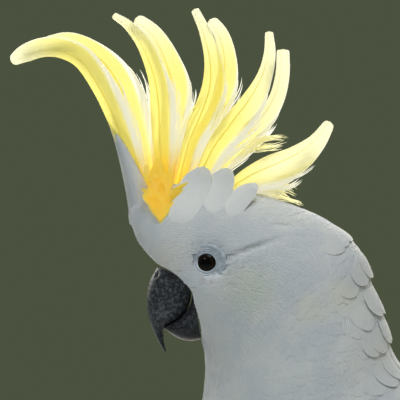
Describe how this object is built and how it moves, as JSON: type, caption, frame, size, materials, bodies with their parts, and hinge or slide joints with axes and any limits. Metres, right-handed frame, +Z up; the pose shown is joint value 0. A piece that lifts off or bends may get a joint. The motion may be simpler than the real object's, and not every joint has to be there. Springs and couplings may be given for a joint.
{
  "type": "sulphur-crested cockatoo model",
  "caption": "Life-size still model of a white cockatoo standing on both feet, head drawn in, yellow crest raised, dark hooked bill, wings folded over a straight tail.",
  "frame": {"origin": "on the floor, under the middle of the bounding box", "axes": "+X from the bill towards the tail, along the bird; +Y towards its right side; +Z up"},
  "size_m": [0.4698, 0.1174, 0.4004],
  "materials": {
    "white_plumage": "soft white feathers",
    "yellow_plumage": "sulphur-yellow feathers, paler at their edges",
    "bill_horn": "dark slate horn with a powdery bloom",
    "claw_horn": "dark horn",
    "scaly_skin": "dark grey scales",
    "bare_skin": "pale wrinkled eyelid skin",
    "eye": "wet dark iris"
  },
  "bodies": {
    "root": {"claw_inner_back_left": "claw_horn", "claw_inner_back_right": "claw_horn", "claw_inner_front_left": "claw_horn", "claw_inner_front_right": "claw_horn", "claw_outer_back_left": "claw_horn", "claw_outer_back_right": "claw_horn", "claw_outer_front_left": "claw_horn", "claw_outer_front_right": "claw_horn", "crest_1a": "yellow_plumage", "crest_1b": "yellow_plumage", "crest_2a": "yellow_plumage", "crest_2b": "yellow_plumage", "crest_3a": "yellow_plumage", "crest_3b": "yellow_plumage", "crest_4a": "yellow_plumage", "crest_4b": "yellow_plumage", "crest_5a": "yellow_plumage", "crest_5b": "yellow_plumage", "crown_covert_1_left": "white_plumage", "crown_covert_1_right": "white_plumage", "crown_covert_2_left": "white_plumage", "crown_covert_2_right": "white_plumage", "crown_covert_3_left": "white_plumage", "crown_covert_3_right": "white_plumage", "eye_left": "eye", "eye_right": "eye", "eye_ring_left": "bare_skin", "eye_ring_right": "bare_skin", "foot_left": "scaly_skin", "foot_right": "scaly_skin", "forehead_covert_left": "white_plumage", "forehead_covert_right": "white_plumage", "head": "white_plumage", "lower_bill": "bill_horn", "neck": "white_plumage", "shank_left": "white_plumage", "shank_right": "white_plumage", "tail": "white_plumage", "trunk": "white_plumage", "upper_bill": "bill_horn", "wing_left": "white_plumage", "wing_right": "white_plumage"}
  },
  "joints": []
}
